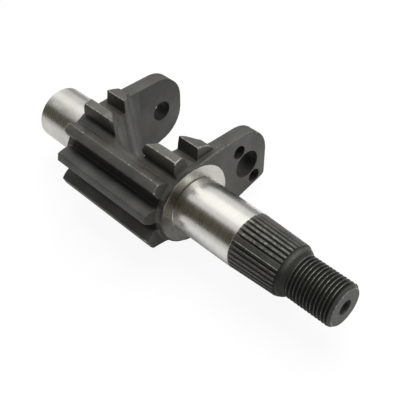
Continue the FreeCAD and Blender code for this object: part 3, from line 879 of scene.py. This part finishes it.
def body_painted_shade():
    """Painted shade in the corners, in the holes, on the lower flanks by the way they face, in the lower roots
    and on the hub beside the front ring; also darker towards the top of the rear ear's inner face."""
    in_corners = 1.2 * np.maximum(nearness(1, 1), nearness(3, 1) * 0.8)
    on_rear_ear = (body_x < RECESS_X) & (body_x > REAR_EAR_FRONT - 0.6) & (body_y > 24)
    # Painted shade on the flanks by the way they face, darkest on those facing downwards
    facing = np.degrees(np.arctan2(body_outward[:, 2], body_outward[:, 1])) % 360
    on_flanks = ((body_r > HUB_RADIUS + 0.8) & (body_r < TIP_RADIUS - 0.3) & (body_y < 18)
                 & (np.abs(body_outward[:, 0]) < 0.5))
    flanks = at_marks(facing, (150, 0), (170, 0.6), (186, 0.6), (200, 1.3), (262, 1.3), (275, 0))
    in_roots = (body_r < HUB_RADIUS + 1.5) & (body_x < TEETH_FRONT - 1) & (body_x > TEETH_REAR + 1)
    roots = at_marks(body_angle, (140, 0), (146, 1.35), (200, 1.35), (204, 0))
    by_ring = ((body_r < HUB_RADIUS + 1.3) & (body_x > TEETH_FRONT - 0.5)
               & (body_angle > 80) & (body_angle < 125))
    return np.maximum.reduce([in_corners, 0.7 * np.clip((body_z - 2) / 12, 0, 1) * on_rear_ear, hole_painted_shade(),
                              flanks * on_flanks, roots * in_roots, 0.6 * by_ring])


# Bright nicks on the teeth's tips, each with its station, angle, length, width and strength
NICKS = ((-105.2, 199.5, 1, 1.8, 1), (-108.5, 199.5, 1.6, 1.6, 0.5), (-103.4, 141.4, 0.6, 1, 1),
         (-132, 132.4, 0.8, 0.8, 0.6), (-128.5, 132.4, 0.7, 0.8, 0.6), (-150.5, 132.4, 0.7, 0.8, 0.6),
         (-148, 174, 5, 1, 0.42), (-141, 174, 1, 0.9, 0.5))
END_TO_END = 999


def worn_edges():
    """Wear on the body's edges, nicks on the tips and bright lines along the lands of the three upper teeth."""
    edges = np.clip(nearness(0.45, -1) * np.where(near_tips & toothed, 6, 3), 0, 1) * edge_share()
    nicks = sum(strength * nick(*place) for *place, strength in NICKS)
    lines = 0.6 * nick(RECESS_X, FIRST_TOOTH + 3.3, END_TO_END, 0.7)
    lines = (lines + 0.5 * nick(RECESS_X, 79, END_TO_END, 0.7)) * on_land
    lines = lines + 0.38 * nick(RECESS_X, FIRST_TOOTH + TOOTH_PITCH - 4.5, END_TO_END, 0.8)
    return np.maximum.reduce([edges, nicks, lines])


def rub_and_highlight_coat():
    """Paler coat: a painted highlight on the lands, most on the uppermost teeth, and worn along the rims of the
    tips and the front ear and at one scuff.
    """
    lands = at_marks(body_angle, (60, 0.25), (88, 0.25), (92, 0.55), (118, 0.55), (122, 0.22), (150, 0.22),
                     (155, 0.05)) * (body_r > TIP_RADIUS - 0.12) * toothed
    rims = np.clip(nearness(0.6, -1) * 2.5, 0, 1) * (body_z > 0) * (body_y < EAR_BORE[0]) * (body_x > -178)
    rims = rims * (0.5 * on_ear_rim + 0.9 * (near_tips & toothed & (body_angle < 150)))
    scuff = 1.2 * nick(-158.2, 104.5, 2.8, 4.5) * on_land
    return np.maximum.reduce([lands, rims, scuff])


# The rings darken to brown on their left and lower side: partly an oxide film, partly painted shade in their
# reflection
ring_haze_and_shade = at_marks(body_angle, (60, 0), (97, 0.05), (115, 0.55), (132, 1), (175, 0.75), (200, 0.15),
                     (260, 0.1))
ring_reach = at_marks(body_angle, (60, 0), (97, 0), (117, 0.0005), (140, 0.0009), (160, 0.0005),
                      (172, 0), (260, -0.0002))
make_piece("toothed_body", body_points, body_faces.tolist(), body_coat,
           {"edge": worn_edges(), "hollow": body_painted_shade(), "haze_and_painted_shade": ring_haze_and_shade, "reach": ring_reach,
            "rub_and_painted_highlight": rub_and_highlight_coat()}, body_normals)

circle = np.linspace(0, TAU, 145)[:-1]


def over_grid(stations, angles, value_of):
    """Values at the points of a turned grid, from a function of X and the angle, and nought at both poles."""
    x, angle = np.meshgrid(stations[:, 0], angles, indexing="ij")
    return np.append(value_of(x, angle).ravel(), (0, 0))


def front_stain_and_shade(x, angle):
    """Painted shade in the corner at the hub, except on the near side, and an olive stained patch just in front,
    as bell curves along X and round the shaft."""
    line = np.exp(-((x - HUB_FRONT - 0.1) / 0.35) ** 2) * (1.75 - 1.75 * around(angle, 182, 26))
    return 0.8 * np.exp(-((x - HUB_FRONT - 2.6) / 1.5) ** 2) * around(angle, 147, 8) + line


def rear_painted_shade(x, angle):
    """Painted shade: a narrow dark band where the rear journal meets the hub, and faint dark bands along its
    sides.
    """
    shaded_bands = at_marks(np.degrees(angle), (40, 0.28), (60, 0.3), (75, 0.05), (88, 0.22), (98, 0), (108, 0),
                    (117, 0.3), (125, 0.42), (135, 0), (150, 0), (165, 0.08), (180, 0.32), (235, 0.32))
    return 0.35 * np.exp(-((x - HUB_REAR + 0.7) / 1.6) ** 2) + shaded_bands * (x < HUB_REAR - 4.2)


front_journal = profile((SEAT_BACK - 0.6, 0.5), (SEAT_BACK, JOURNAL_RADIUS - 0.06),
                        (SEAT_BACK - 0.1, JOURNAL_RADIUS), (HUB_FRONT + 0.5, JOURNAL_RADIUS),
                        (HUB_FRONT + 0.25, JOURNAL_RADIUS), (HUB_FRONT + 0.1, JOURNAL_RADIUS + 0.04),
                        (HUB_FRONT + 0.01, JOURNAL_RADIUS + 0.15), (HUB_FRONT - 0.7, JOURNAL_RADIUS + 0.8),
                        (HUB_FRONT - 0.8, 0.5))
rear_journal = profile((HUB_REAR + 0.8, 0.5), (HUB_REAR + 0.7, JOURNAL_RADIUS + 0.8),
                       (HUB_REAR - 0.01, JOURNAL_RADIUS + 0.8), (HUB_REAR - 0.01, JOURNAL_RADIUS + 0.15),
                       (HUB_REAR - 0.1, JOURNAL_RADIUS + 0.04), (HUB_REAR - 0.25, JOURNAL_RADIUS),
                       (REAR_END + 1.2, JOURNAL_RADIUS), (REAR_END, JOURNAL_RADIUS - 1.2),
                       (REAR_END, CENTRE_MOUTH), (REAR_END + 4, CENTRE_PILOT), (REAR_END + 9, CENTRE_PILOT),
                       (REAR_END + 10.9, 0.1))
for name, journal, darkening_of in (("front_journal", front_journal, front_stain_and_shade),
                              ("rear_journal", rear_journal, rear_painted_shade)):
    make_piece(name, *turned_grid(journal, circle, plain_radius), ground,
               {"stain": over_grid(journal, circle, darkening_of)})


def taper_radius(x):
    """Radius of the taper at a station, one millimetre more for each TAPER_RUN of length."""
    return SEAT_SMALL + (SEAT_FRONT - x) / TAPER_RUN


def serration_place(x, angle):
    """Nearest of the places, and how far past it the surface lies, in millimetres round the taper."""
    place = (np.degrees(angle) - BLANK_ANGLE) / SERRATION_STEP
    nearest = np.round(place)
    return nearest, np.radians((place - nearest) * SERRATION_STEP) * taper_radius(x)


def groove_depth(x, angle):
    """Depth of a V groove of 62 degrees at each of 36 places but every ninth, running out at the journal.

    It is the full depth less the distance from the groove's middle over the tangent of half its angle. Each ninth
    place has a slightly lower flat instead, from the groove before it to the tooth after it.
    """
    nearest, past = serration_place(x, angle)
    place = nearest % BLANK_EVERY
    depth = np.where(place == 0, 0, np.clip(GROOVE_DEPTH - np.abs(past) / math.tan(GROOVE_HALF_ANGLE), 0, None))
    flat = ((place == 0) & (past < 0.76)) | ((place == BLANK_EVERY - 1) & (past > 0.5))
    depth = np.maximum(depth, BLANK_DEPTH * flat)
    return depth * np.clip((x - SEAT_BACK) / 2.2, 0, 1) * (x <= SEAT_FRONT)


def seat_radius(x, r, angle):
    """The taper with its V grooves: the smaller of the profile's radius and the taper less the groove's depth."""
    return np.where(x <= SEAT_FRONT, np.minimum(r, taper_radius(x) + 0.02 - groove_depth(x, angle)), r)


def shoulder_painted_highlight(x, degrees):
    """Painted highlight along the middle of the shoulder, on its upper side."""
    across = np.exp(-((x - SEAT_FRONT - 2.2) / 0.9) ** 2)
    return across * at_marks(degrees, (45, 0.5), (70, 1), (112, 1), (135, 0.4), (150, 0))


def seat_painted_shade(x, angle):
    """Painted shade in the grooves, most from the side down, and on the shoulder; the taper is also darker from
    143 to 166 degrees.
    """
    degrees = np.degrees(angle) % 360
    grooves = groove_depth(x, angle) / 0.9 * at_marks(degrees, (55, 0.1), (100, 1), (300, 1))
    side = at_marks(degrees, (141.5, 0), (143, 1.15), (148, 1.15), (156, 0.7), (158, 0.5), (166, 0.3))
    taper = np.maximum(grooves, side * (x > SEAT_BACK + 0.6))
    step = 1.7 * np.exp(-((x - SEAT_FRONT - 0.2) / 0.45) ** 2)
    return np.where(x <= SEAT_FRONT, taper, np.maximum(1.4 - 1.3 * shoulder_painted_highlight(x, degrees), step))


def seat_wear_and_highlight(x, angle):
    """Paler coat: a painted highlight on the upper lands and along the shoulder's top, worn upper edges on the
    lower lands and worn coat by the journal.
    """
    past = serration_place(x, angle)[1]
    degrees = np.degrees(angle) % 360
    upper = at_marks(degrees, (45, 0.22), (80, 0.3), (100, 0.44), (126, 0.42), (131, 0)) * (np.abs(past) > 0.72)
    lower = at_marks(degrees, (137, 1), (160, 0.75), (200, 0.5)) * (degrees > 137)
    lower = lower * np.exp(-((past - 0.84) / 0.14) ** 2)
    wear_and_highlight = np.where(x <= SEAT_FRONT, np.maximum(upper, lower), 0.3 * shoulder_painted_highlight(x, degrees))
    return wear_and_highlight + 0.4 * np.exp(-((x - SEAT_BACK) / 0.5) ** 2)


# Angles of the grid's lines from each place's middle, closest together at the grooves' edges
PLACE_LINES = (-5, -3.6, -3, -2.75, -2.4, -1.6, -0.8, -0.15, 0.15, 0.8, 1.6, 2.4, 2.75, 3, 3.6)
# Relief behind the thread and the rounded shoulder in front of the serrations, as (x, radius)
SHOULDER = [(-26.9, 1), (-26.9, 11.2), (THREAD_BACK, 11.6), (-28, 11.72), (-28.4, 11.95), (-28.7, 12.3),
            (-29.1, 12.72), (-29.5, 13.1), (-30, 13.45), (-30.6, 13.75), (-31.2, 13.92), (-31.8, 14),
            (-32.2, 13.98), (-32.32, 13.98)]
places = BLANK_ANGLE + SERRATION_STEP * np.arange(SERRATIONS)
seat_angles = np.radians((places[:, None] + PLACE_LINES).ravel())
taper = profile((SEAT_FRONT, SEAT_SMALL), (SEAT_BACK, SEAT_LARGE), (SEAT_BACK, 1), step=0.8)
seat = np.vstack([SHOULDER, taper])
make_piece("serrated_seat", *turned_grid(seat, seat_angles, seat_radius), seat_coat, {
    "edge": over_grid(seat, seat_angles, seat_wear_and_highlight),
    "hollow": over_grid(seat, seat_angles, seat_painted_shade)})


def thread_depth(x, angle):
    """Depth of a V thread of 60 degrees whose crest moves one pitch along X for each turn.

    It is the distance from the crest's flat, which is an eighth of the pitch wide, times the root of three, up to
    the full depth, and it fades at both ends.
    """
    turn = (x - THREAD_PHASE) / THREAD_PITCH - angle / TAU
    away = np.abs(turn - np.round(turn)) * THREAD_PITCH
    depth = np.clip((away - THREAD_PITCH / 16) * math.sqrt(3), 0, THREAD_DEPTH)
    fade = np.clip((THREAD_FRONT + 0.9 - x) / 1.4, 0, 1) * np.clip((x - THREAD_BACK + 0.4) / 1.6, 0, 1)
    return depth * fade * ((x < NOSE_BACK) & (x > THREAD_BACK - 0.5))


def thread_radius(x, r, angle):
    """The profile's radius, cut down to the thread's."""
    return np.minimum(r, THREAD_RADIUS - thread_depth(x, angle))


def thread_wear_and_highlight(x, angle):
    """Paler crests: worn, and brightest on the upper side as a painted highlight."""
    crest = np.clip(1 - thread_depth(x, angle) / 0.14, 0, 1) * (x < THREAD_FRONT - 0.3) * (x > THREAD_BACK)
    return crest * at_marks(np.degrees(angle), (45, 0.5), (85, 0.75), (100, 0.85), (118, 0.78), (138, 0.5),
                            (160, 0.5), (175, 0.66), (195, 0.6))


def thread_painted_shade(x, angle):
    """Painted shade in the thread: its depth over 0.6 mm, up to a limit."""
    return np.clip(thread_depth(x, angle) / 0.6, 0, 1.66)


def all_round(values, front_pole=0):
    """One value for each station of the threaded end, the same all round, and one for its front pole."""
    return np.append(np.repeat(values, len(circle)), (front_pole, 0))


thread_rows = np.arange(THREAD_FRONT, THREAD_BACK, -0.13)
nose = np.vstack([profile((-9.6, 0.1), (-9, CENTRE_PILOT), (-4, CENTRE_PILOT), (0, CENTRE_MOUTH),
                          (0, FACE_RADIUS), (NOSE_BACK, NOSE_RADIUS)),
                  np.column_stack([thread_rows, np.full_like(thread_rows, THREAD_RADIUS)]),
                  [(-27.6, 11.9), (-28.2, 11), (-28.3, 0.5)]])
nose_x, nose_r = nose.T
# Painted shade on the threaded end: darkest in the centre hole, less on the thread and least on the end face
nose_painted_shade = np.where(nose_r < CENTRE_MOUTH - 0.05, 1.6, np.where(nose_x < -0.02, 0.85, 0.7))
nose_rim = 0.9 * np.exp(-((nose_r - FACE_RADIUS) / 0.12) ** 2) * (nose_x > -0.3)
make_piece("threaded_end", *turned_grid(nose, circle, thread_radius), thread_coat, {
    "edge": over_grid(nose, circle, thread_wear_and_highlight) + all_round(nose_rim),
    "hollow": over_grid(nose, circle, thread_painted_shade) + all_round(nose_painted_shade, 1.66)})


# ---- Floor, light and camera ----

ROOM_LEVEL = 0.45
FLOOR_GLOW = 0.92
CAMERA_PLACE = (0.12838, -0.13436, 0.33514)
CAMERA_RIGHT = (0.69821, 0.68986, -0.19132)
CAMERA_UP = (-0.47866, 0.64857, 0.59181)
CAMERA_BACK = (0.53234, -0.32163, 0.78305)
CAMERA_LENS = 72.81
SENSOR_WIDTH = 36


def scene_mesh(name, corners, material):
    """A four-cornered sheet of the studio, which isn't part of the object."""
    mesh = bpy.data.meshes.new(name)
    mesh.from_pydata(corners, [], [(0, 1, 2, 3)])
    mesh.materials.append(material)
    obj = add_object(name, mesh)
    return obj


# The floor glows to the camera alone, so it shows white and keeps the object's shadow.
floor_paint = Shading("white floor")
floor_paint.finish((0.85, 0.85, 0.84, 1), 0, 0.9)
floor_paint.shader.inputs["Specular IOR Level"].default_value = 0
seen = floor_paint.add("ShaderNodeLightPath").outputs["Is Camera Ray"]
glow = floor_paint.add("ShaderNodeEmission").outputs[0]
mixed = floor_paint.add("ShaderNodeMixShader", (0, floor_paint.calc("MULTIPLY", seen, FLOOR_GLOW)),
                        (1, floor_paint.shader.outputs[0]), (2, glow)).outputs[0]
scene_mesh("floor", [(-3, -3, FLOOR), (3, -3, FLOOR), (3, 3, FLOOR), (-3, 3, FLOOR)], floor_paint.show(mixed))

# The room is white where it is seen or mirrored, and lights the object at a lower level.
room = Shading("studio", "Background", bpy.data.worlds)
rays = room.add("ShaderNodeLightPath").outputs
seen = room.calc("MAXIMUM", rays["Is Camera Ray"], rays["Is Glossy Ray"])
seen = room.calc("MAXIMUM", seen, rays["Is Transmission Ray"])
level = room.add("ShaderNodeMapRange", ("Value", seen), ("To Min", ROOM_LEVEL), ("To Max", 1)).outputs[0]
room.feed(room.shader.inputs["Color"], (1, 1, 1, 1))
room.feed(room.shader.inputs["Strength"], level)
bpy.context.scene.world = room.made


def card(name, corners, colour):
    """Flat card that shows only where it is mirrored. Its colour may be brighter than white."""
    paint = Shading(name)
    strength = max(colour)
    hue = (*(value / strength for value in colour), 1)
    glow = paint.add("ShaderNodeEmission", ("Color", hue), ("Strength", strength)).outputs[0]
    obj = scene_mesh(name, corners, paint.show(glow))
    obj.visible_camera = obj.visible_diffuse = obj.visible_shadow = False


def strip(first_x, last_x, low, high):
    """Corners of a card that runs along X, between two lines at (y, z)."""
    return [(first_x, *low), (last_x, *low), (last_x, *high), (first_x, *high)]


# The journals mirror the brown card in a dark band on their near side, the white ones on top, brighter for the
# front journal, the key card in a highlight by the hub, and the grey one and the floor's low on the far side.
CARD_REAR, CARD_SPLIT, CARD_FRONT = -1.6, -0.68, 0.5
LOW = FLOOR + 0.001
card("brown card", strip(CARD_REAR, CARD_FRONT, (-0.33, 0.80), (-0.86, 0.10)), (0.078, 0.066, 0.044))
card("white card", strip(CARD_SPLIT, 0, (0.02, 0.765), (0.58, 0.50)), (1.65, 1.65, 1.60))
card("far white card", strip(CARD_REAR, CARD_SPLIT, (0.18, 0.69), (0.58, 0.50)), (1.2, 1.2, 1.16))
card("key card", [(0.136, 0.582, 0.826), (0.456, 0.28, 0.826), (0.644, 0.478, 0.534), (0.324, 0.78, 0.534)],
     (4.4, 4.4, 4.3))
card("grey card", strip(CARD_REAR, CARD_FRONT, (0.9, -0.02), (0.9, 0.14)), (0.34, 0.33, 0.31))
card("floor card", strip(CARD_REAR, CARD_FRONT, (0.085, LOW), (0.9, LOW)), (0.38, 0.375, 0.36))

# An overhead lamp that is never mirrored, turned towards the shaft's middle
lamp = bpy.data.lights.new("overhead softbox", "AREA")
lamp.shape = "RECTANGLE"
lamp.size, lamp.size_y = 0.7, 0.6
lamp.energy = 9
softbox = add_object("overhead softbox", lamp)
softbox.visible_glossy = False
place, target = Vector((-0.1, 0.35, 0.7)), Vector((-0.11, 0, 0))
softbox.matrix_world = (target - place).to_track_quat("-Z", "Y").to_matrix().to_4x4()
softbox.location = place

camera_data = bpy.data.cameras.new("camera")
camera_data.lens = CAMERA_LENS
camera_data.sensor_width = SENSOR_WIDTH
camera = add_object("camera", camera_data)
turn = Matrix((CAMERA_RIGHT, CAMERA_UP, CAMERA_BACK)).transposed().to_4x4()
turn.translation = CAMERA_PLACE
camera.matrix_world = turn
bpy.context.scene.camera = camera

bpy.context.scene.view_settings.view_transform = "Standard"
